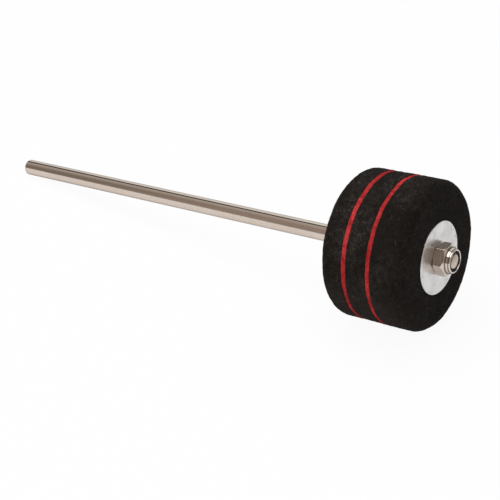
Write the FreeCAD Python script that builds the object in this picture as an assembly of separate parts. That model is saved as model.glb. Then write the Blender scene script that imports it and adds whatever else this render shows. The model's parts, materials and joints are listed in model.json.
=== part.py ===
import FreeCAD, Part
import math
import os

# A bass drum beater: a plated rod with a head of laminated felt, clamped between two washers.
# Millimetres. Each piece is drawn upright on the Z axis, with the rod's free end at z = 0 and the head
# on top. It is then laid down along +X, so that the rod's free end and the head's rear rim touch z = 0.

# Rod
shaft_radius = 4.0
shaft_reach = 208.0  # from the free end to the back of the felt
shaft_end_round = 0.8
neck_length = 1.5  # of the relief groove between the plain rod and its threaded end
stud_recess = 0.3  # of the rim of its threaded end, below the lip of the lock nut
stud_chamfer = 0.8
stud_dome = 0.35  # how far the middle of its end face rises above that rim

# Thread of the rod and of both nuts
thread_pitch = 1.25
thread_relief = 0.1  # how far the threaded end of the rod is below the plain rod, on radius
thread_depth = 0.6
thread_root_flat = 0.31
thread_flank_angle = 30.0  # degrees from the plane square to the rod
thread_clearance = 0.15  # radial, between the rod and a nut
thread_margin = 1.5  # thread that goes on past what sits on it
thread_overrun = 0.1

# Felt layers
felt_radius = 33.8
felt_rim_round = 4.8
felt_bore_clearance = 0.1
back_felt_thickness = 11.5
rear_stripe_thickness = 2.2
middle_felt_thickness = 9.6
front_stripe_thickness = 2.2
front_felt_thickness = 14.8

# Washers
washer_radius = 16.5
washer_thickness = 1.5
washer_edge_round = 0.3
washer_bore_clearance = 0.2
washer_sink = 1.0  # how deep a washer presses into the felt
washer_seat_clearance = 0.3  # radial, between a washer and the felt around it

# Both nuts
nut_wall = 2.6  # from the crests of the rod's thread out to a flat
nut_corner_round = 0.3
nut_chamfer_inset = 0.3  # from a flat in to where the chamfer meets an end face
nut_chamfer_angle = 30.0  # degrees from the end face
nut_mouth_clearance = 0.1  # radial, between the rod and the countersunk mouth of a thread
rear_nut_height = 6.5

# Lock nut and its insert
lock_nut_height = 7.7
lock_nut_hex_height = 5.5
lock_nut_clocking = -3.0  # degrees that its hexagon is turned about the rod
shoulder_inset = 0.5  # from a flat in to where the cone on the hexagon's outer end meets its end face
shoulder_angle = 42.0  # degrees from the end face
collar_inset = 0.7  # from a flat in to the collar
collar_foot = 0.4  # straight stretch of the collar, above the hexagon
collar_taper = 0.3  # how much narrower the collar gets from its foot to the lip, on radius
lip_height = 0.9  # of the rolled lip, above the collar
lip_inset = 0.1  # from the top of the collar in to the lip
lip_outer_round = 0.6
lip_wall = 0.7
lip_thickness = 0.45
lip_flare = 0.2
insert_wall = 1.1  # from the crests of the rod's thread out to the rim of the insert
insert_thickness = 1.9
insert_clearance = 0.05

cut_overrun = 1.0
same_place = 1e-6

hex_sides = 6
half_side_share = 0.5
spare_turns = 2  # of thread past the end of a piece, before it is cut to length
axis = FreeCAD.Vector(0, 0, 1)
cross_axis = FreeCAD.Vector(0, 1, 0)

# Heights along the rod, from its free end
felt_layers = [
    ("back_felt", back_felt_thickness),
    ("rear_stripe", rear_stripe_thickness),
    ("middle_felt", middle_felt_thickness),
    ("front_stripe", front_stripe_thickness),
    ("front_felt", front_felt_thickness),
]
felt_back = shaft_reach
felt_front = felt_back + sum(thickness for name, thickness in felt_layers)
rear_washer_back = felt_back + washer_sink - washer_thickness
rear_nut_back = rear_washer_back - rear_nut_height
front_washer_back = felt_front - washer_sink
lock_nut_back = front_washer_back + washer_thickness
lock_nut_top = lock_nut_back + lock_nut_height
insert_top = lock_nut_top - lip_thickness
insert_back = insert_top - insert_thickness
stud_rim = lock_nut_top - stud_recess
stud_end = stud_rim + stud_dome

# Thread sections, which repeat up the rod from its free end
thread_start = rear_nut_back - 2 * thread_margin
neck_start = thread_start - neck_length
thread_radius = shaft_radius - thread_relief
thread_root_radius = thread_radius - thread_depth
thread_slope = math.tan(math.radians(thread_flank_angle))
thread_crest_flat = thread_pitch - thread_root_flat - 2 * thread_depth * thread_slope
nut_crest_radius = thread_root_radius + thread_clearance
nut_root_radius = thread_radius + thread_clearance

# Radii of the nuts and of the rod's domed end, which follow the thread
nut_flat_radius = thread_radius + nut_wall
nut_corner_radius = nut_flat_radius / math.cos(math.pi / hex_sides)
nut_chamfer_radius = nut_flat_radius - nut_chamfer_inset
shoulder_radius = nut_flat_radius - shoulder_inset
collar_radius = nut_flat_radius - collar_inset
collar_top_radius = collar_radius - collar_taper
lip_outer_radius = collar_top_radius - lip_inset
lip_radius = lip_outer_radius - lip_wall
insert_radius = thread_radius + insert_wall
stud_rim_radius = thread_radius - stud_chamfer
stud_ball_radius = (stud_rim_radius**2 + stud_dome**2) / 2 / stud_dome


def cylinder(radius, bottom, top):
    return Part.makeCylinder(radius, top - bottom, axis * bottom, axis)


def cone(bottom_radius, top_radius, bottom, top):
    return Part.makeCone(bottom_radius, top_radius, top - bottom, axis * bottom, axis)


def rounded(shape, height, size):
    rims = []
    for edge in shape.Edges:
        if edge.isClosed() and abs(edge.CenterOfMass.z - height) < same_place:
            rims.append(edge)
    return shape.makeFillet(size, rims)


def helical_groove(bottom, top, phase, inner_radius, inner_width, outer_radius, outer_width):
    start = phase + thread_pitch * math.ceil((bottom - phase) / thread_pitch)
    turns = math.ceil((top - start) / thread_pitch)
    corners = [
        FreeCAD.Vector(inner_radius, 0, -inner_width / 2),
        FreeCAD.Vector(outer_radius, 0, -outer_width / 2),
        FreeCAD.Vector(outer_radius, 0, outer_width / 2),
        FreeCAD.Vector(inner_radius, 0, inner_width / 2),
    ]
    outline = Part.makePolygon(corners + corners[:1])
    helix = Part.makeHelix(thread_pitch, turns * thread_pitch, thread_radius)
    groove = Part.Wire(helix.Edges).makePipeShell([outline], True, True)
    groove.translate(axis * start)
    return groove


def rod_groove(bottom, top):
    mouth_radius = thread_radius + thread_overrun
    mouth_width = thread_root_flat + 2 * (mouth_radius - thread_root_radius) * thread_slope
    return helical_groove(bottom, top, 0, thread_root_radius, thread_root_flat, mouth_radius, mouth_width)


def nut_groove(bottom, top):
    mouth_radius = nut_crest_radius - thread_overrun
    mouth_width = thread_crest_flat + 2 * (nut_root_radius - mouth_radius) * thread_slope
    phase = thread_pitch / 2
    return helical_groove(bottom, top, phase, mouth_radius, mouth_width, nut_root_radius, thread_crest_flat)


def threaded_tube(bottom, top):
    run = spare_turns * thread_pitch
    groove = nut_groove(bottom - run, top + run)
    tube = cylinder(nut_corner_radius + cut_overrun, bottom - 2 * run, top + 2 * run)
    bore = cylinder(nut_crest_radius, bottom - 2 * run - cut_overrun, top + 2 * run + cut_overrun)
    return tube.cut(bore).cut(groove)


def countersink(bottom):
    mouth_radius = nut_root_radius + nut_mouth_clearance
    return cone(mouth_radius, nut_crest_radius, bottom, bottom + mouth_radius - nut_crest_radius)


def hex_blank(bottom, top, top_radius, top_angle):
    corners = []
    for side in range(hex_sides):
        angle = 2 * math.pi * (side + half_side_share) / hex_sides
        x = nut_corner_radius * math.cos(angle)
        y = nut_corner_radius * math.sin(angle)
        corners.append(FreeCAD.Vector(x, y, bottom))
    outline = Part.makePolygon(corners + corners[:1])
    prism = Part.Face(outline).extrude(axis * (top - bottom))
    uprights = [edge for edge in prism.Edges if edge.BoundBox.ZLength > same_place]
    prism = prism.makeFillet(nut_corner_round, uprights)
    barrel_radius = nut_corner_radius + cut_overrun
    lower_height = (barrel_radius - nut_chamfer_radius) * math.tan(math.radians(nut_chamfer_angle))
    upper_height = (barrel_radius - top_radius) * math.tan(math.radians(top_angle))
    lower = cone(nut_chamfer_radius, barrel_radius, bottom, bottom + lower_height)
    middle = cylinder(barrel_radius, bottom + lower_height, top - upper_height)
    upper = cone(barrel_radius, top_radius, top - upper_height, top)
    return prism.common(lower.fuse([middle, upper]))


def threaded_stock():
    run = spare_turns * thread_pitch
    top = stud_end + 2 * run
    stock = cylinder(thread_radius, thread_start, top)
    stock = stock.cut(rod_groove(rear_nut_back - thread_margin, rear_washer_back + thread_margin))
    stock = stock.cut(rod_groove(front_washer_back - thread_margin, stud_end + run))
    chamfer_start = stud_rim - stud_chamfer
    chamfer = cone(thread_radius, stud_rim_radius, chamfer_start, stud_rim)
    ball = Part.makeSphere(stud_ball_radius, axis * (stud_end - stud_ball_radius))
    dome = ball.common(cylinder(thread_radius, stud_rim, top))
    waste = cylinder(thread_radius + cut_overrun, chamfer_start, top + cut_overrun)
    return stock.cut(waste.cut(chamfer.fuse(dome)))


def make_shaft():
    rod = rounded(cylinder(shaft_radius, 0, neck_start), 0, shaft_end_round)
    neck = cylinder(thread_root_radius, neck_start, thread_start)
    return rod.fuse([neck, threaded_stock()])


def make_washer(back):
    front = back + washer_thickness
    disc = cylinder(washer_radius, back, front)
    disc = rounded(disc, back, washer_edge_round)
    disc = rounded(disc, front, washer_edge_round)
    bore = cylinder(shaft_radius + washer_bore_clearance, back - cut_overrun, front + cut_overrun)
    return disc.cut(bore)


def make_rear_nut():
    blank = hex_blank(rear_nut_back, rear_washer_back, nut_chamfer_radius, nut_chamfer_angle)
    blank = blank.cut(countersink(rear_nut_back))
    return threaded_tube(rear_nut_back, rear_washer_back).common(blank)


def make_felt_layers():
    puck = cylinder(felt_radius, felt_back, felt_front)
    puck = rounded(puck, felt_back, felt_rim_round)
    puck = rounded(puck, felt_front, felt_rim_round)
    bore = cylinder(thread_radius + felt_bore_clearance, felt_back - cut_overrun, felt_front + cut_overrun)
    seat_radius = washer_radius + washer_seat_clearance
    rear_seat = cylinder(seat_radius, felt_back - cut_overrun, felt_back + washer_sink)
    front_seat = cylinder(seat_radius, felt_front - washer_sink, felt_front + cut_overrun)
    puck = puck.cut([bore, rear_seat, front_seat])
    layers = {}
    bottom = felt_back
    for name, thickness in felt_layers:
        top = bottom + thickness
        layers[name] = puck.common(cylinder(felt_radius + cut_overrun, bottom, top))
        bottom = top
    return layers


def make_lock_nut():
    hex_top = lock_nut_back + lock_nut_hex_height
    hex_part = hex_blank(lock_nut_back, hex_top, shoulder_radius, shoulder_angle)
    hex_part.rotate(FreeCAD.Vector(), axis, lock_nut_clocking)
    foot_top = hex_top + collar_foot
    foot = cylinder(collar_radius, lock_nut_back + lock_nut_hex_height / 2, foot_top)
    collar = cone(collar_radius, collar_top_radius, foot_top, lock_nut_top - lip_height)
    lip = cylinder(lip_outer_radius, lock_nut_back + lock_nut_hex_height / 2, lock_nut_top)
    lip = rounded(lip, lock_nut_top, lip_outer_round)
    pocket = cylinder(insert_radius + insert_clearance, insert_back, insert_top)
    mouth = cylinder(lip_radius, insert_back, lock_nut_top + cut_overrun)
    flare_radius = lip_radius + lip_flare + cut_overrun
    flare = cone(lip_radius, flare_radius, lock_nut_top - lip_flare, lock_nut_top + cut_overrun)
    blank = hex_part.fuse([foot, collar, lip]).cut([pocket, mouth, flare, countersink(lock_nut_back)])
    return threaded_tube(lock_nut_back, lock_nut_top).common(blank)


def make_lock_nut_insert():
    ring = cylinder(insert_radius, insert_back, insert_top)
    return threaded_tube(insert_back, insert_top).common(ring)


def resting_tilt():
    rise = (felt_radius - felt_rim_round) - (shaft_radius - shaft_end_round)
    run = (felt_back + felt_rim_round) - shaft_end_round
    drop = math.asin((felt_rim_round - shaft_end_round) / math.hypot(rise, run))
    return math.atan2(rise, run) + drop


def forward_reach(face, radius, edge_round, tilt):
    along = (face - edge_round) * math.cos(tilt)
    across = (radius - edge_round) * math.sin(tilt)
    return along + across + edge_round


def resting_place():
    tilt = resting_tilt()
    front = max(
        forward_reach(stud_end, stud_ball_radius, stud_ball_radius, tilt),
        forward_reach(lock_nut_top, lip_outer_radius, lip_outer_round, tilt),
        forward_reach(felt_front, felt_radius, felt_rim_round, tilt),
    )
    inner_radius = shaft_radius - shaft_end_round
    back = shaft_end_round * math.cos(tilt) - inner_radius * math.sin(tilt) - shaft_end_round
    lift = shaft_end_round + inner_radius * math.cos(tilt) - shaft_end_round * math.sin(tilt)
    turn = FreeCAD.Rotation(cross_axis, 90 - math.degrees(tilt))
    return FreeCAD.Placement(FreeCAD.Vector(-(front + back) / 2, 0, lift), turn)


pieces = {
    "shaft": make_shaft(),
    "rear_nut": make_rear_nut(),
    "rear_washer": make_washer(rear_washer_back),
    "front_washer": make_washer(front_washer_back),
    "lock_nut": make_lock_nut(),
    "lock_nut_insert": make_lock_nut_insert(),
}
pieces.update(make_felt_layers())

place = resting_place()
os.makedirs("parts", exist_ok=True)
for name, piece in pieces.items():
    piece.transformShape(place.toMatrix(), True)
    piece.exportStep("parts/" + name + ".step")
    print(name, piece.isValid(), len(piece.Solids), round(piece.Volume, 1))

print("tilt in degrees", math.degrees(resting_tilt()))
print("free end on the axis", place.multVec(FreeCAD.Vector()))
print("stud end on the axis", place.multVec(axis * stud_end))
print("axis", place.Rotation.multVec(axis))
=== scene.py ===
import functools
import json
import math
import random

import bmesh
import bpy
from mathutils import Matrix, Vector


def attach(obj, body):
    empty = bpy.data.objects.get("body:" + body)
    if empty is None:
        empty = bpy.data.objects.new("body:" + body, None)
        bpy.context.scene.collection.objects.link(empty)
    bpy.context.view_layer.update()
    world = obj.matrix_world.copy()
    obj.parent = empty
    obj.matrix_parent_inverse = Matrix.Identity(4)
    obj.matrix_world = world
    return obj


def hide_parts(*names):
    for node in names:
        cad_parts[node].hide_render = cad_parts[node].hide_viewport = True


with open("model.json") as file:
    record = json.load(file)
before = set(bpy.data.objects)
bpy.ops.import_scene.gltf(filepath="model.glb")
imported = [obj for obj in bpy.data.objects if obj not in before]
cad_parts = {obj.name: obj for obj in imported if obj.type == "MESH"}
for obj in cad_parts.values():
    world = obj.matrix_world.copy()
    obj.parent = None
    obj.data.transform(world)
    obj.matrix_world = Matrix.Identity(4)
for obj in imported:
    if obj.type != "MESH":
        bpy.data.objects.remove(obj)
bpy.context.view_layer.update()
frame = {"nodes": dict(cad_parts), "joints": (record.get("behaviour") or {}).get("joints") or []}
scene = bpy.context.scene
print("frame loaded with", len(frame["nodes"]), "nodes")

# Pieces are made upright, along Z from the rod's free end, and then laid on the rod.
rod = {
    "turnReach": 0.228,  # from the free end to the point that the head's joint names
}
headTurn = next(joint for joint in frame["joints"] if joint["name"] == "head_turn")
rodWay = Vector(headTurn["axis"]).normalized()
freeEnd = Vector(headTurn["pos_m"]) - rodWay * rod["turnReach"]
rodTurn = math.atan2(rodWay.x, rodWay.z)
layDown = Matrix.Translation(freeEnd) @ Matrix.Rotation(rodTurn, 4, "Y")


# Camera, at the photograph's angle

eye = {
    "spot": (0.32477, -0.43147, 0.34725),
    "azimuth": 35.36,
    "elevation": 32.9,
    "lens": 93.6,
    "sensor": 36.0,
    "nearest": 0.01,
    "farthest": 20.0,
}


def setCamera():
    turn = math.radians(eye["azimuth"])
    rise = math.radians(eye["elevation"])
    look = Vector((-math.sin(turn) * math.cos(rise), math.cos(turn) * math.cos(rise), -math.sin(rise)))
    bpy.ops.object.camera_add(location=eye["spot"], rotation=look.to_track_quat("-Z", "Y").to_euler())
    camera = bpy.context.object
    camera.name = "photoCamera"
    camera.data.lens = eye["lens"]
    camera.data.sensor_width = eye["sensor"]
    camera.data.clip_start = eye["nearest"]
    camera.data.clip_end = eye["farthest"]
    camera.data.dof.use_dof = False
    scene.camera = camera
    print("camera set")


# Hand tools that the pieces share


def deselectAll():
    if bpy.context.object and bpy.context.object.mode != "OBJECT":
        bpy.ops.object.mode_set(mode="OBJECT")
    bpy.ops.object.select_all(action="DESELECT")


def pickEdges(piece, wanted):
    mesh = bmesh.from_edit_mesh(piece.data)
    for edge in mesh.edges:
        edge.select_set(False)
    for edge in mesh.edges:
        if wanted(edge):
            edge.select_set(True)
    bmesh.update_edit_mesh(piece.data)


def pickPoints(piece, wanted):
    mesh = bmesh.from_edit_mesh(piece.data)
    for point in mesh.verts:
        point.select_set(False)
    for point in mesh.verts:
        if wanted(point.co):
            point.select_set(True)
    mesh.select_flush_mode()
    bmesh.update_edit_mesh(piece.data)


def spanOf(point):
    return math.hypot(point.x, point.y)


def applyModifiers(piece):
    for modifier in list(piece.modifiers):
        bpy.ops.object.modifier_apply(modifier=modifier.name)


def layOnRod(piece):
    piece.matrix_world = layDown
    bpy.ops.object.transform_apply(location=True, rotation=True, scale=True)


# Shader helpers


def opaque(colour):
    return (*colour, 1.0)


def feed(tree, socket, value):
    if isinstance(value, bpy.types.NodeSocket):
        tree.links.new(value, socket)
    else:
        socket.default_value = value


def feedAll(tree, node, inputs):
    for name, value in inputs.items():
        feed(tree, node.inputs[name], value)


def newMaterial(name):
    material = bpy.data.materials.new(name)
    material.use_nodes = True
    tree = material.node_tree
    return material, tree, tree.nodes["Principled BSDF"]


def addNode(tree, kind, inputs):
    node = tree.nodes.new(kind)
    feedAll(tree, node, inputs)
    return node


def mathNode(tree, operation, *values):
    node = tree.nodes.new("ShaderNodeMath")
    node.operation = operation
    for socket, value in zip(node.inputs, values):
        feed(tree, socket, value)
    return node.outputs[0]


def foldNodes(tree, operation, values):
    return functools.reduce(lambda first, second: mathNode(tree, operation, first, second), values)


def gapNode(tree, value, centre):
    return mathNode(tree, "ABSOLUTE", mathNode(tree, "SUBTRACT", value, centre))


def rangeNode(tree, value, low, high, newLow=0.0, newHigh=1.0):
    inputs = {"Value": value, "From Min": low, "From Max": high, "To Min": newLow, "To Max": newHigh}
    return addNode(tree, "ShaderNodeMapRange", inputs).outputs["Result"]


def dotNode(tree, first, second):
    node = tree.nodes.new("ShaderNodeVectorMath")
    node.operation = "DOT_PRODUCT"
    feed(tree, node.inputs[0], first)
    feed(tree, node.inputs[1], second)
    return node.outputs["Value"]


def splitNode(tree, vector):
    return addNode(tree, "ShaderNodeSeparateXYZ", {"Vector": vector}).outputs


def mixColour(tree, share, first, second):
    node = tree.nodes.new("ShaderNodeMix")
    node.data_type = "RGBA"
    feed(tree, node.inputs["Factor"], share)
    for name, colour in (("A", first), ("B", second)):
        socket = next(s for s in node.inputs if s.name == name and s.type == "RGBA")
        feed(tree, socket, opaque(colour) if isinstance(colour, tuple) else colour)
    return next(s for s in node.outputs if s.type == "RGBA")


def openGroup(name, scales):
    group = bpy.data.node_groups.new(name, "ShaderNodeTree")
    group.interface.new_socket("Vector", in_out="INPUT", socket_type="NodeSocketVector")
    for label in scales:
        group.interface.new_socket(label, in_out="INPUT", socket_type="NodeSocketFloat")
    return group, group.nodes.new("NodeGroupInput").outputs


def closeGroup(group, values):
    for label in values:
        group.interface.new_socket(label, in_out="OUTPUT", socket_type="NodeSocketFloat")
    feedAll(group, group.nodes.new("NodeGroupOutput"), values)
    return group


def placeGroup(tree, group, vector, scales):
    node = tree.nodes.new("ShaderNodeGroup")
    node.node_tree = group
    feedAll(tree, node, {"Vector": vector, **scales})
    return node.outputs


def noiseOf(tree, vector, scale, detail=2.0, rough=0.5, warp=0.0):
    inputs = {"Vector": vector, "Scale": scale, "Detail": detail, "Roughness": rough, "Distortion": warp}
    return addNode(tree, "ShaderNodeTexNoise", inputs).outputs["Fac"]


def stretched(tree, vector, scale, turn=(0.0, 0.0, 0.0)):
    inputs = {"Vector": vector, "Rotation": turn, "Scale": scale}
    return addNode(tree, "ShaderNodeMapping", inputs).outputs["Vector"]


def rodVector(tree):
    place = tree.nodes.new("ShaderNodeTexCoord").outputs["Object"]
    inputs = {"Vector": place, "Location": freeEnd, "Rotation": (0.0, rodTurn, 0.0)}
    node = addNode(tree, "ShaderNodeMapping", inputs)
    node.vector_type = "TEXTURE"
    return node.outputs["Vector"]


def spanNode(tree, vector):
    way = splitNode(tree, vector)
    squares = [mathNode(tree, "POWER", way[axis], 2.0) for axis in "XY"]
    return mathNode(tree, "SQRT", mathNode(tree, "ADD", *squares))


# Wool felt. Its cut wall shows more loose fibre than its pressed faces.

feltFibre = {
    "strandTurns": [(0.4, 0.9, 0.2), (1.7, 0.3, 1.1), (2.6, 1.9, 0.5)],
    "strandStretch": (1.0, 0.22, 1.0),
    "strandWarp": 1.6,
    "strandRange": (0.54, 0.74),
    "patchDetail": 3.0,
    "patchRough": 0.6,
    "patchRange": (0.35, 0.68),
    "napFineness": 2.2,  # against the strands
    "napDetail": 3.0,
    "napStrands": 0.6,
    "wallRadii": (0.0255, 0.0325),  # from the pressed face to the cut wall
    "middleReach": 0.2282,
    "rimReach": (0.0105, 0.0165),  # from the middle, where the fibre stops being loose
    "driftScale": 62.0,
    "driftRange": (0.38, 0.60),
    "driftLeast": 0.45,
    "bareStrands": 0.25,  # left where there are no patches
    "shadeAndDustSide": (-0.001, 0.012),  # from the rod's axis down
    "shadeAndDustScale": 700.0,
    "shadeAndDustRange": (0.30, 0.60),
    "shadeAndDustLeast": 0.5,
}


def makeFeltGroup():
    group, start = openGroup("woolFibre", ["Strand Scale", "Patch Scale"])
    vector = start["Vector"]
    strandScale = start["Strand Scale"]
    strands = []
    for turn in feltFibre["strandTurns"]:
        lengthwise = stretched(group, vector, feltFibre["strandStretch"], turn)
        streaks = noiseOf(group, lengthwise, strandScale, warp=feltFibre["strandWarp"])
        strands.append(rangeNode(group, streaks, *feltFibre["strandRange"]))
    strands = foldNodes(group, "MAXIMUM", strands)
    patches = noiseOf(
        group, vector, start["Patch Scale"], detail=feltFibre["patchDetail"], rough=feltFibre["patchRough"]
    )
    napScale = mathNode(group, "MULTIPLY", strandScale, feltFibre["napFineness"])
    fine = noiseOf(group, vector, napScale, detail=feltFibre["napDetail"])
    raised = mathNode(group, "MULTIPLY", strands, feltFibre["napStrands"])
    # Low side of the wall: painted shade on the red layers, grey dust on the black felt
    lowSide = rangeNode(group, splitNode(group, vector)["X"], *feltFibre["shadeAndDustSide"])
    onWall = rangeNode(group, spanNode(group, vector), *feltFibre["wallRadii"])
    grains = noiseOf(group, vector, feltFibre["shadeAndDustScale"])
    specks = rangeNode(group, grains, *feltFibre["shadeAndDustRange"], feltFibre["shadeAndDustLeast"])
    return closeGroup(
        group,
        {
            "Strands": strands,
            "Patches": rangeNode(group, patches, *feltFibre["patchRange"]),
            "Nap": mathNode(group, "ADD", raised, fine),
            "Dust And Shade": foldNodes(group, "MULTIPLY", [lowSide, onWall, specks]),
        },
    )


def looseFibre(tree, place, faceLint):
    onWall = rangeNode(tree, spanNode(tree, place), *feltFibre["wallRadii"], faceLint)
    reach = gapNode(tree, splitNode(tree, place)["Z"], feltFibre["middleReach"])
    offRim = rangeNode(tree, reach, *feltFibre["rimReach"], 1.0, faceLint)
    clouds = noiseOf(tree, place, feltFibre["driftScale"])
    drift = rangeNode(tree, clouds, *feltFibre["driftRange"], feltFibre["driftLeast"])
    return mathNode(tree, "MULTIPLY", mathNode(tree, "MINIMUM", onWall, offRim), drift)


# At the low side the painted shade darkens only the red layers' edges, so their stripes narrow there.
def stripeEdge(tree, place, look):
    along = splitNode(tree, place)["Z"]
    off = foldNodes(tree, "MINIMUM", [gapNode(tree, along, reach) for reach in look["stripes"]])
    return rangeNode(tree, off, *look["stripeCore"])


def makeFelt(name, group, look):
    material, tree, shader = newMaterial(name)
    place = rodVector(tree)
    scales = {"Strand Scale": look["strandScale"], "Patch Scale": look["patchScale"]}
    wool = placeGroup(tree, group, place, scales)
    loose = looseFibre(tree, place, look["faceLint"])
    patches = mathNode(tree, "MULTIPLY", wool["Patches"], loose)
    ground = mixColour(tree, patches, look["dark"], look["light"])
    matted = rangeNode(tree, patches, 0.0, 1.0, feltFibre["bareStrands"])
    lint = foldNodes(tree, "MULTIPLY", [wool["Strands"], matted, loose])
    fibre = mixColour(tree, lint, ground, look["strand"])
    # Towards the low side the colour is mixed to the dust-and-shade colour: painted shade that darkens the
    # red layers, a grey dust on the black felt
    lowDustAndShade = mathNode(tree, "MULTIPLY", wool["Dust And Shade"], look["dustAndShadeShare"])
    if "stripes" in look:
        lowDustAndShade = mathNode(tree, "MULTIPLY", lowDustAndShade, stripeEdge(tree, place, look))
    nap = {"Strength": look["napStrength"], "Distance": look["napDepth"], "Height": wool["Nap"]}
    feedAll(
        tree,
        shader,
        {
            "Base Color": mixColour(tree, lowDustAndShade, fibre, look["dustAndShadeColour"]),
            "Normal": addNode(tree, "ShaderNodeBump", nap).outputs["Normal"],
            "Roughness": look["roughness"],
            "Specular IOR Level": look["specular"],
            "Sheen Weight": look["sheen"],
            "Sheen Roughness": look["sheenRoughness"],
            "Sheen Tint": opaque(look["sheenTint"]),
        },
    )
    return material


blackFelt = {
    "dark": (0.0078, 0.0061, 0.0050),
    "light": (0.0180, 0.0142, 0.0118),
    "strand": (0.088, 0.074, 0.064),
    "strandScale": 1500.0,
    "patchScale": 380.0,
    "faceLint": 0.62,
    "napStrength": 0.7,
    "napDepth": 0.0004,
    "roughness": 0.95,
    "specular": 0.08,
    "sheen": 0.02,
    "sheenRoughness": 0.5,
    "sheenTint": (0.55, 0.50, 0.46),
    "dustAndShadeColour": (0.030, 0.024, 0.021),
    "dustAndShadeShare": 0.45,
}
redFelt = {
    "dark": (0.29, 0.013, 0.015),
    "light": (0.575, 0.033, 0.036),
    "strand": (0.74, 0.100, 0.094),
    "strandScale": 1500.0,
    "patchScale": 420.0,
    "faceLint": 1.0,
    "napStrength": 0.6,
    "napDepth": 0.0003,
    "roughness": 0.95,
    "specular": 0.08,
    "sheen": 0.04,
    "sheenRoughness": 0.5,
    "sheenTint": (0.9, 0.35, 0.35),
    # dark colour of the painted shade at the red layers' low side
    "dustAndShadeColour": (0.020, 0.0165, 0.0145),
    "dustAndShadeShare": 1.0,
    "stripes": [0.2206, 0.2324],  # middles of the two red layers
    "stripeCore": (0.00055, 0.00085),
}


# Felt discs of the head

feltHead = {
    "boreRadius": 0.0040,
    "rimRound": 0.0048,
    "rimSteps": 20,
    "seatRadius": 0.0166,
    "seatDepth": 0.0010,
    "seatRound": 0.0008,
    "seatSteps": 5,
    "layerRound": 0.00022,
    "layerSteps": 3,
    "roundProfile": 0.5,
    "around": 640,
    "step": 0.00036,
    "longestStep": 1.5,  # steps, past which a run is divided
    "nearly": 0.00002,
    "weld": 0.000002,
    "jointReach": 0.0012,
    "fade": 0.5,
    "fadeRepeats": 6,
    "reliefDepth": 2,
    "reliefMiddle": 0.5,
}
feltDiscs = [
    # name, node, low end, high end, radius, end that shows, slot
    ("backFelt", "back_felt", 0.2080, 0.2195, 0.0338, "low", "black_felt"),
    ("rearRedFelt", "rear_stripe", 0.2195, 0.2217, 0.03365, "none", "red_felt"),
    ("middleFelt", "middle_felt", 0.2217, 0.2314, 0.0338, "none", "black_felt"),
    ("frontRedFelt", "front_stripe", 0.2314, 0.2334, 0.03365, "none", "red_felt"),
    ("frontFelt", "front_felt", 0.2334, 0.2483, 0.0338, "high", "black_felt"),
]
feltRelief = [
    # name, how, size of its lumps, most that it moves the surface, group of points
    ("waver", "Z", 0.0150, 0.00060, "joints"),
    ("nibble", "Z", 0.0034, 0.00050, "joints"),
    ("lumps", "NORMAL", 0.0110, 0.00050, "open"),
    ("tufts", "NORMAL", 0.0024, 0.00030, "open"),
    ("pile", "NORMAL", 0.0010, 0.00020, "open"),
]


def discOutline(low, high, outer, shown):
    bore, seat, sink = feltHead["boreRadius"], feltHead["seatRadius"], feltHead["seatDepth"]
    outline = [(outer, low), (outer, high)]
    if shown == "low":
        outline = [(bore, low + sink), (seat, low + sink), (seat, low)] + outline
    else:
        outline = [(bore, low)] + outline
    if shown == "high":
        return outline + [(seat, high), (seat, high - sink), (bore, high - sink)]
    return outline + [(bore, high)]


def turnDisc(outline):
    radius, height = outline[0]
    bpy.ops.mesh.primitive_circle_add(vertices=feltHead["around"], radius=radius, location=(0.0, 0.0, height))
    disc = bpy.context.object
    bpy.ops.object.transform_apply(location=True)
    bpy.ops.object.mode_set(mode="EDIT")
    bpy.ops.mesh.select_all(action="SELECT")
    for nextRadius, nextHeight in outline[1:] + outline[:1]:
        bpy.ops.mesh.extrude_region_move(TRANSFORM_OT_translate={"value": (0.0, 0.0, nextHeight - height)})
        grow = nextRadius / radius
        bpy.ops.transform.resize(value=(grow, grow, 1.0), center_override=(0.0, 0.0, nextHeight))
        radius, height = nextRadius, nextHeight
    bpy.ops.mesh.select_all(action="SELECT")
    bpy.ops.mesh.remove_doubles(threshold=feltHead["weld"])
    bpy.ops.mesh.normals_make_consistent(inside=False)
    return disc


def isAt(point, radius, height):
    offRadius = abs(spanOf(point.co) - radius)
    offHeight = abs(point.co.z - height)
    return offRadius < feltHead["nearly"] and offHeight < feltHead["nearly"]


def isRing(edge, radius, height):
    return all(isAt(point, radius, height) for point in edge.verts)


def isRun(edge, ends):
    return all(any(isAt(point, *end) for point in edge.verts) for end in ends)


def roundRing(disc, radius, height, size, steps):
    pickEdges(disc, lambda edge: isRing(edge, radius, height))
    bpy.ops.mesh.bevel(offset=size, segments=steps, profile=feltHead["roundProfile"], affect="EDGES")


def divideRuns(disc, shows):
    runs = {}
    for edge in bmesh.from_edit_mesh(disc.data).edges:
        first, last = (point.co for point in edge.verts)
        ends = sorted([(spanOf(first), first.z), (spanOf(last), last.z)])
        length = math.dist(*ends)
        if length > feltHead["step"] * feltHead["longestStep"] and shows((first + last) / 2):
            key = tuple(round(number / feltHead["nearly"]) for end in ends for number in end)
            runs[key] = (ends, length)
    for ends, length in runs.values():
        pickEdges(disc, lambda edge: isRun(edge, ends))
        bpy.ops.mesh.subdivide(number_cuts=round(length / feltHead["step"]) - 1)


def nameGroup(disc, name, wanted):
    disc.vertex_groups.new(name=name)
    pickPoints(disc, wanted)
    bpy.ops.object.vertex_group_assign()
    bpy.ops.object.vertex_group_smooth(
        group_select_mode="ACTIVE", factor=feltHead["fade"], repeat=feltHead["fadeRepeats"]
    )


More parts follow.
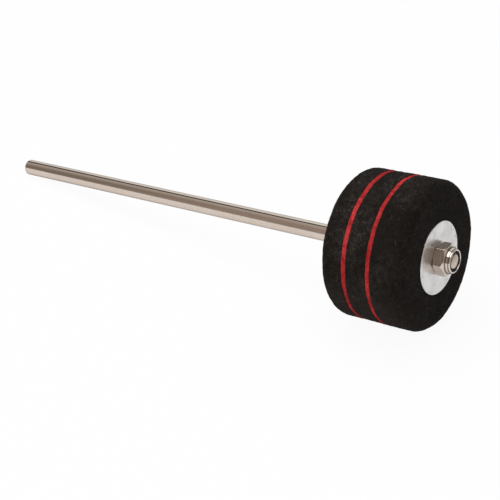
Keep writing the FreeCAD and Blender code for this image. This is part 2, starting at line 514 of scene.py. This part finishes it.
def roughenDisc(disc):
    for name, way, size, most, points in feltRelief:
        texture = bpy.data.textures.get(name) or bpy.data.textures.new(name, "CLOUDS")
        texture.noise_scale = size
        texture.noise_depth = feltHead["reliefDepth"]
        texture.noise_basis = "IMPROVED_PERLIN"
        displace = disc.modifiers.new(name, "DISPLACE")
        displace.texture = texture
        displace.texture_coords = "LOCAL"
        displace.direction = way
        displace.strength = most
        displace.mid_level = feltHead["reliefMiddle"]
        displace.vertex_group = points
    applyModifiers(disc)


def cutFelt(name, node, low, high, outer, shown, material):
    deselectAll()
    disc = turnDisc(discOutline(low, high, outer, shown))
    disc.name = name
    disc.data.name = name
    ends = {"low": low, "high": high}
    for end, height in ends.items():
        if end == shown:
            roundRing(disc, outer, height, feltHead["rimRound"], feltHead["rimSteps"])
            roundRing(disc, feltHead["seatRadius"], height, feltHead["seatRound"], feltHead["seatSteps"])
        else:
            roundRing(disc, outer, height, feltHead["layerRound"], feltHead["layerSteps"])
    wallEdge = outer - feltHead["layerRound"] - feltHead["nearly"]
    seatEdge = feltHead["seatRadius"] + feltHead["seatRound"] - feltHead["nearly"]
    joints = [height for end, height in ends.items() if end != shown]

    def isOpen(place):
        if spanOf(place) > wallEdge:
            return True
        if shown == "none":
            return False
        return spanOf(place) > seatEdge and abs(place.z - ends[shown]) < feltHead["rimRound"]

    def isJoint(place):
        return min(abs(place.z - height) for height in joints) < feltHead["jointReach"]

    divideRuns(disc, isOpen)
    nameGroup(disc, "joints", isJoint)
    nameGroup(disc, "open", isOpen)
    bpy.ops.object.mode_set(mode="OBJECT")
    roughenDisc(disc)
    bpy.ops.object.shade_smooth()
    layOnRod(disc)
    disc.data.materials.append(material)
    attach(disc, "head")
    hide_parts(node)
    print(name, "cut with", len(disc.data.polygons), "faces")
    return disc


# Loose lint on the felt: short curls of fibre that lie on its surface

feltLint = {
    "seed": 41,
    "around": 24,  # points in the whole circle that a curl is cut from
    "fewest": 5,
    "most": 10,
    "leastCurl": 0.0003,
    "greatestCurl": 0.0017,
    "seatClear": 1.2,  # seat radii, where the lint on a face starts
    "rimClear": 0.95,  # felt radii, where it ends
    "lift": 0.00005,
    "thickness": 0.000028,
    "roundness": 0,
    "dark": (0.045, 0.040, 0.036),
    "pale": (0.23, 0.21, 0.19),
    "toneScale": 900.0,
    "toneRange": (0.38, 0.66),
    "roughness": 0.9,
}
lintBeds = [
    # name, felt that carries it, curls on its wall, curls on its face
    ("backLint", "backFelt", 90, 25),
    ("middleLint", "middleFelt", 90, 0),
    ("frontLint", "frontFelt", 100, 22),
]


def makeLint():
    material, tree, shader = newMaterial("looseLint")
    tone = rangeNode(tree, noiseOf(tree, rodVector(tree), feltLint["toneScale"]), *feltLint["toneRange"])
    colour = mixColour(tree, tone, feltLint["dark"], feltLint["pale"])
    feedAll(tree, shader, {"Base Color": colour, "Roughness": feltLint["roughness"]})
    return material


def cutCurl(chance, spot, out):
    bpy.ops.mesh.primitive_circle_add(
        vertices=feltLint["around"],
        radius=chance.uniform(feltLint["leastCurl"], feltLint["greatestCurl"]),
    )
    curl = bpy.context.object
    kept = chance.randint(feltLint["fewest"], feltLint["most"])
    bpy.ops.object.mode_set(mode="EDIT")
    arc = bmesh.from_edit_mesh(curl.data)
    for point in arc.verts:
        point.select_set(point.index >= kept)
    arc.select_flush(True)
    bpy.ops.mesh.delete(type="VERT")
    bpy.ops.object.mode_set(mode="OBJECT")
    turn = out.to_track_quat("Z", "Y").to_matrix().to_4x4()
    spin = Matrix.Rotation(chance.uniform(0.0, math.tau), 4, "Z")
    curl.matrix_world = layDown @ Matrix.Translation(spot) @ turn @ spin
    return curl


def scatterCurls(chance, low, high, outer, shown, onWall, onFace):
    curls = []
    face, faceWay = (low, -1.0) if shown == "low" else (high, 1.0)
    for count in range(onWall + onFace):
        angle = chance.uniform(0.0, math.tau)
        out = Vector((math.cos(angle), math.sin(angle), 0.0))
        if count < onWall:
            spot = out * outer + Vector((0.0, 0.0, chance.uniform(low, high)))
        else:
            inner = feltHead["seatRadius"] * feltLint["seatClear"]
            reach = chance.uniform(inner, outer * feltLint["rimClear"])
            spot = out * reach + Vector((0.0, 0.0, face))
            out = Vector((0.0, 0.0, faceWay))
        curls.append(cutCurl(chance, spot, out))
    return curls


def layLint(name, disc, low, high, outer, shown, onWall, onFace, material):
    deselectAll()
    chance = random.Random(name + str(feltLint["seed"]))
    curls = scatterCurls(chance, low, high, outer, shown, onWall, onFace)
    deselectAll()
    for curl in curls:
        curl.select_set(True)
    lint = curls[0]
    bpy.context.view_layer.objects.active = lint
    bpy.ops.object.join()
    lint.name = name
    bpy.ops.object.transform_apply(location=True, rotation=True, scale=True)
    wrap = lint.modifiers.new("settle", "SHRINKWRAP")
    wrap.target = disc
    wrap.wrap_method = "NEAREST_SURFACEPOINT"
    wrap.wrap_mode = "ABOVE_SURFACE"
    wrap.offset = feltLint["lift"]
    applyModifiers(lint)
    bpy.ops.object.convert(target="CURVE")
    lint.data.dimensions = "3D"
    lint.data.bevel_depth = feltLint["thickness"]
    lint.data.bevel_resolution = feltLint["roundness"]
    lint.data.use_fill_caps = True
    bpy.ops.object.convert(target="MESH")
    bpy.ops.object.mode_set(mode="EDIT")
    bpy.ops.mesh.select_all(action="SELECT")
    bpy.ops.mesh.normals_make_consistent(inside=False)
    bpy.ops.object.mode_set(mode="OBJECT")
    bpy.ops.object.shade_smooth()
    lint.data.name = name
    lint.data.materials.clear()
    lint.data.materials.append(material)
    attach(lint, "head")
    print(name, "laid with", len(lint.data.polygons), "faces")


# Plated metal: fine turning lines, hair scratches, smudges and specks

plateMarks = {
    "lineStretch": (0.02, 0.02, 1.0),
    "lineDetail": 3.0,
    "scratchTurns": [(0.3, 0.5, 0.9), (1.2, 2.1, 0.3), (2.4, 0.8, 1.7)],
    "scratchStretch": (1.0, 0.03, 0.5),
    "scratchFineness": 0.25,  # against the lines
    "scratchWarp": 0.4,
    "scratchRange": (0.66, 0.74),
    "scratchDepth": 0.5,  # against the lines
    "smudgeDetail": 4.0,
    "smudgeRough": 0.6,
    "smudgeWarp": 0.6,
    "smudgeRange": (0.32, 0.70),
    "speckDetail": 1.0,
    "speckRange": (0.70, 0.76),
}


def makePlateGroup():
    group, start = openGroup("platingMarks", ["Line Scale", "Smudge Scale", "Speck Scale"])
    vector = start["Vector"]
    lineScale = start["Line Scale"]
    turning = stretched(group, vector, plateMarks["lineStretch"])
    hairScale = mathNode(group, "MULTIPLY", lineScale, plateMarks["scratchFineness"])
    scratches = []
    for turn in plateMarks["scratchTurns"]:
        lengthwise = stretched(group, vector, plateMarks["scratchStretch"], turn)
        hairs = noiseOf(group, lengthwise, hairScale, warp=plateMarks["scratchWarp"])
        scratches.append(rangeNode(group, hairs, *plateMarks["scratchRange"]))
    smudge = noiseOf(
        group,
        vector,
        start["Smudge Scale"],
        detail=plateMarks["smudgeDetail"],
        rough=plateMarks["smudgeRough"],
        warp=plateMarks["smudgeWarp"],
    )
    specks = noiseOf(group, vector, start["Speck Scale"], detail=plateMarks["speckDetail"])
    return closeGroup(
        group,
        {
            "Lines": noiseOf(group, turning, lineScale, detail=plateMarks["lineDetail"]),
            "Scratches": foldNodes(group, "MAXIMUM", scratches),
            "Smudge": rangeNode(group, smudge, *plateMarks["smudgeRange"]),
            "Specks": rangeNode(group, specks, *plateMarks["speckRange"]),
        },
    )


def cutEnd(tree, place, look):
    way = splitNode(tree, place)
    beyond = rangeNode(tree, way["Z"], *look["cutReach"])
    sideways = mathNode(tree, "MULTIPLY", way["Y"], look["cutSlant"])
    # The brown fades out below the top of the end face: painted shade.
    upper = rangeNode(tree, mathNode(tree, "ADD", way["X"], sideways), *look["cutShadeSide"], 1.0, 0.0)
    clouds = noiseOf(tree, place, look["cutScale"], detail=look["cutDetail"])
    blotch = rangeNode(tree, clouds, *look["cutRange"], look["cutLeast"])
    return foldNodes(tree, "MULTIPLY", [beyond, blotch, upper])


# Dark lines in the lock nut's grooves: painted shade.
def grooveGrime(tree, place, look):
    along = splitNode(tree, place)["Z"]
    lines = []
    for reach, share in look["grooves"]:
        lines.append(rangeNode(tree, gapNode(tree, along, reach), *look["grooveReach"], share, 0.0))
    return foldNodes(tree, "MAXIMUM", lines)


# An edge is where the rounded normal leans away from the surface's own. There the colour is brightened as a
# painted highlight.
def edgeWear(tree, rounded, look):
    surface = tree.nodes.new("ShaderNodeNewGeometry").outputs["Normal"]
    return rangeNode(tree, dotNode(tree, rounded, surface), *look["glintTurn"])


def makePlate(name, group, look):
    material, tree, shader = newMaterial(name)
    place = rodVector(tree)
    scales = {
        "Line Scale": look["lineScale"],
        "Smudge Scale": look["smudgeScale"],
        "Speck Scale": look["speckScale"],
    }
    marks = placeGroup(tree, group, place, scales)
    edges = addNode(tree, "ShaderNodeBevel", {"Radius": look["edgeRound"]})
    edges.samples = look["edgeSamples"]
    rounded = edges.outputs["Normal"]
    plate = mixColour(tree, marks["Smudge"], look["bright"], look["dull"])
    plate = mixColour(tree, marks["Specks"], plate, look["speck"])
    rubbed = mathNode(tree, "MULTIPLY", marks["Scratches"], look["scratchGloss"])
    gloss = mathNode(tree, "ADD", rangeNode(tree, marks["Smudge"], 0.0, 1.0, *look["roughness"]), rubbed)
    if "cutReach" in look:
        cut = cutEnd(tree, place, look)
        plate = mixColour(tree, cut, plate, look["cutBrownAndShade"])
        gloss = mathNode(tree, "ADD", gloss, mathNode(tree, "MULTIPLY", cut, look["cutRoughness"]))
    # painted highlight along the edges
    if "glintTurn" in look:
        plate = mixColour(tree, edgeWear(tree, rounded, look), plate, look["glintBright"])
    # painted shade in the lock nut's grooves
    if "grooves" in look:
        plate = mixColour(tree, grooveGrime(tree, place, look), plate, look["grooveShadeColour"])
    sunk = mathNode(tree, "MULTIPLY", marks["Scratches"], plateMarks["scratchDepth"])
    relief = {
        "Strength": look["markStrength"],
        "Distance": look["markDepth"],
        "Height": mathNode(tree, "SUBTRACT", marks["Lines"], sunk),
        "Normal": rounded,
    }
    feedAll(
        tree,
        shader,
        {
            "Base Color": plate,
            "Roughness": gloss,
            "Normal": addNode(tree, "ShaderNodeBump", relief).outputs["Normal"],
            "Metallic": 1.0,
            "Specular Tint": opaque(look["edgeTint"]),
        },
    )
    return material


nickel = {
    "bright": (0.69, 0.595, 0.525),
    "dull": (0.645, 0.55, 0.48),
    "roughness": (0.07, 0.13),
    "scratchGloss": 0.08,
    "lineScale": 9000.0,
    "smudgeScale": 90.0,
    "speckScale": 1400.0,
    "speck": (0.36, 0.30, 0.25),
    "edgeTint": (1.0, 1.0, 1.0),
    "edgeRound": 0.00025,
    "edgeSamples": 6,
    "markStrength": 0.10,
    "markDepth": 0.00002,
}
# The rod's threaded end was cut after plating, so its end face is browner and duller. The brown is kept to
# the end face's upper part as painted shade, darker at the top than below.
rodNickel = {
    **nickel,
    "edgeTint": (0.62, 0.60, 0.59),
    "cutReach": (0.2559, 0.2560),
    "cutShadeSide": (-0.0031, 0.0008),  # from the top of the end face to below its middle
    "cutSlant": 0.45,
    "cutScale": 620.0,
    "cutDetail": 3.0,
    "cutRange": (0.25, 0.50),
    "cutLeast": 0.3,
    "cutBrownAndShade": (0.35, 0.28, 0.225),
    "cutRoughness": 0.22,
}
# Painted shade darkens the lock nut's two grooves, under its collar and under its lip. Its edges carry a
# painted highlight.
lockNickel = {
    **nickel,
    "edgeRound": 0.0004,
    "grooves": [(0.2543, 0.9), (0.2556, 0.85)],  # place along the rod, share
    "grooveReach": (0.00008, 0.00028),
    "grooveShadeColour": (0.12, 0.092, 0.074),
    "glintTurn": (0.99, 0.93),
    "glintBright": (0.98, 0.94, 0.90),
}
zinc = {
    "bright": (0.75, 0.735, 0.725),
    "dull": (0.59, 0.575, 0.565),
    "roughness": (0.26, 0.37),
    "scratchGloss": 0.10,
    "lineScale": 6000.0,
    "smudgeScale": 160.0,
    "speckScale": 850.0,
    "speck": (0.22, 0.21, 0.20),
    "edgeTint": (1.0, 1.0, 1.0),
    "edgeRound": 0.0002,
    "edgeSamples": 6,
    "markStrength": 0.12,
    "markDepth": 0.00004,
}


# Nylon ring of the lock nut

nylon = {
    "colour": (0.006, 0.0055, 0.0055),
    "scuff": (0.016, 0.015, 0.015),
    "scuffRange": (0.4, 0.7),
    "roughness": (0.38, 0.55),
    "roughRange": (0.3, 0.7),
    "specular": 0.08,
    "grainScale": 2600.0,
    "grainDetail": 4.0,
    "grainStrength": 0.15,
    "grainDepth": 0.00005,
}


def makeNylon():
    material, tree, shader = newMaterial("blackNylon")
    grain = noiseOf(tree, rodVector(tree), nylon["grainScale"], detail=nylon["grainDetail"])
    scuffed = rangeNode(tree, grain, *nylon["scuffRange"])
    relief = {"Strength": nylon["grainStrength"], "Distance": nylon["grainDepth"], "Height": grain}
    feedAll(
        tree,
        shader,
        {
            "Base Color": mixColour(tree, scuffed, nylon["colour"], nylon["scuff"]),
            "Roughness": rangeNode(tree, grain, *nylon["roughRange"], *nylon["roughness"]),
            "Specular IOR Level": nylon["specular"],
            "Normal": addNode(tree, "ShaderNodeBump", relief).outputs["Normal"],
        },
    )
    return material


def dressNode(node, material):
    for place in frame["nodes"][node].material_slots:
        place.material = material


# Studio: a pale table, a soft sky that is brightest at the front left, and a room that only the metal sees

sky = {
    "bright": (0.92, 0.92, 0.92),
    "dim": (0.15, 0.15, 0.15),
    "brightWay": (-0.6, -0.8, 0.0),
    "brightRange": (-0.6, 0.7),
    "backdrop": (1.0, 1.0, 1.0),
    "strength": 1.0,
}
room = {
    # colours
    "dark": (0.235, 0.201, 0.174),
    "warm": (0.365, 0.312, 0.271),
    "low": (0.31, 0.265, 0.23),
    "high": (0.52, 0.48, 0.45),
    "right": (0.24, 0.23, 0.22),
    "wall": (0.96, 1.0, 1.0),
    "seam": (0.04, 0.034, 0.030),
    # where one gives way to the next, across to the right, away to the back, and up
    "warmAcross": (-0.74, -0.63),
    "lowAcross": (-0.50, -0.46),
    "highAway": (-0.50, 0.0),
    "rightAcross": (-0.10, 0.25),
    "rightRise": (0.05, 0.20),
    "wallAway": (0.36, 0.46),
    "seamAway": 0.33,
    "seamReach": (0.095, 0.16),
    "seamAcross": (0.0, 0.10),
}
table = {
    "size": 12.0,
    "drop": 0.0006,
    "pale": (0.93, 0.93, 0.93),
    "dim": (0.70, 0.695, 0.69),
    "roughness": 0.9,
    "specular": 0.0,
    "cameraGlow": 0.94,
    "mirrorGlow": 0.40,
}
softLights = [
    # name, spot, size, watts
    ("topLight", (0.0, -0.15, 1.35), 1.2, 10.5),
]


def seenRays(tree):
    path = tree.nodes.new("ShaderNodeLightPath").outputs
    kinds = [path["Is Camera Ray"], path["Is Glossy Ray"], path["Is Transmission Ray"]]
    return path["Is Camera Ray"], foldNodes(tree, "MAXIMUM", kinds)


def roomColour(tree, ray):
    way = splitNode(tree, ray)
    across, away, rise = way["X"], way["Y"], way["Z"]
    low = mixColour(tree, rangeNode(tree, across, *room["warmAcross"]), room["dark"], room["warm"])
    low = mixColour(tree, rangeNode(tree, across, *room["lowAcross"]), low, room["low"])
    front = mixColour(tree, rangeNode(tree, away, *room["highAway"]), low, room["high"])
    toRight = rangeNode(tree, across, *room["rightAcross"])
    above = rangeNode(tree, rise, *room["rightRise"])
    back = mixColour(tree, mathNode(tree, "MULTIPLY", toRight, above), room["wall"], room["right"])
    whole = mixColour(tree, rangeNode(tree, away, *room["wallAway"]), front, back)
    onSeam = rangeNode(tree, gapNode(tree, away, room["seamAway"]), *room["seamReach"], 1.0, 0.0)
    toLeft = rangeNode(tree, across, *room["seamAcross"], 1.0, 0.0)
    return mixColour(tree, mathNode(tree, "MULTIPLY", onSeam, toLeft), whole, room["seam"])


def makeWorld():
    world = bpy.data.worlds.new("studioRoom")
    scene.world = world
    world.use_nodes = True
    tree = world.node_tree
    ray = tree.nodes.new("ShaderNodeTexCoord").outputs["Generated"]
    onCamera, seen = seenRays(tree)
    shown = mixColour(tree, onCamera, roomColour(tree, ray), sky["backdrop"])
    frontLeft = rangeNode(tree, dotNode(tree, ray, sky["brightWay"]), *sky["brightRange"])
    light = mixColour(tree, frontLeft, sky["dim"], sky["bright"])
    colour = mixColour(tree, seen, light, shown)
    feedAll(tree, tree.nodes["Background"], {"Color": colour, "Strength": sky["strength"]})
    print("world lit")


def makeFloor():
    deselectAll()
    bpy.ops.mesh.primitive_plane_add(size=table["size"], location=(0.0, 0.0, -table["drop"]))
    floor = bpy.context.object
    floor.name = "paleFloor"
    material, tree, shader = newMaterial("paleTable")
    onCamera, seen = seenRays(tree)
    feedAll(
        tree,
        shader,
        {
            "Base Color": mixColour(tree, seen, table["dim"], table["pale"]),
            "Roughness": table["roughness"],
            "Specular IOR Level": table["specular"],
        },
    )
    mirrored = mathNode(tree, "MULTIPLY", seen, table["mirrorGlow"])
    added = mathNode(tree, "MULTIPLY", onCamera, table["cameraGlow"] - table["mirrorGlow"])
    glow = tree.nodes.new("ShaderNodeEmission")
    mix = addNode(tree, "ShaderNodeMixShader", {"Fac": mathNode(tree, "ADD", mirrored, added)})
    tree.links.new(shader.outputs["BSDF"], mix.inputs[1])
    tree.links.new(glow.outputs["Emission"], mix.inputs[2])
    tree.links.new(mix.outputs["Shader"], tree.nodes["Material Output"].inputs["Surface"])
    floor.data.materials.append(material)
    print("floor laid")


def makeLights():
    for name, spot, size, watts in softLights:
        turn = (-Vector(spot)).to_track_quat("-Z", "Y").to_euler()
        bpy.ops.object.light_add(type="AREA", location=spot, rotation=turn)
        light = bpy.context.object
        light.name = name
        light.data.size = size
        light.data.energy = watts
    print("lights hung")


deselectAll()
setCamera()
makeWorld()
makeFloor()
makeLights()

woolFibre = makeFeltGroup()
felts = {
    "black_felt": makeFelt("blackWool", woolFibre, blackFelt),
    "red_felt": makeFelt("redWool", woolFibre, redFelt),
}
discs = {}
for name, node, low, high, outer, shown, slotName in feltDiscs:
    disc = cutFelt(name, node, low, high, outer, shown, felts[slotName])
    discs[name] = (disc, low, high, outer, shown)
looseLint = makeLint()
for name, feltName, onWall, onFace in lintBeds:
    layLint(name, *discs[feltName], onWall, onFace, looseLint)

platingMarks = makePlateGroup()
nickelPlate = makePlate("nickelPlate", platingMarks, nickel)
rodPlate = makePlate("rodPlate", platingMarks, rodNickel)
lockPlate = makePlate("lockPlate", platingMarks, lockNickel)
zincPlate = makePlate("zincPlate", platingMarks, zinc)
blackNylon = makeNylon()
for node, material in (
    ("shaft", rodPlate),
    ("rear_nut", nickelPlate),
    ("lock_nut", lockPlate),
    ("rear_washer", zincPlate),
    ("front_washer", zincPlate),
    ("lock_nut_insert", blackNylon),
):
    dressNode(node, material)
print("metal and nylon dressed")

scene.view_settings.view_transform = "Standard"
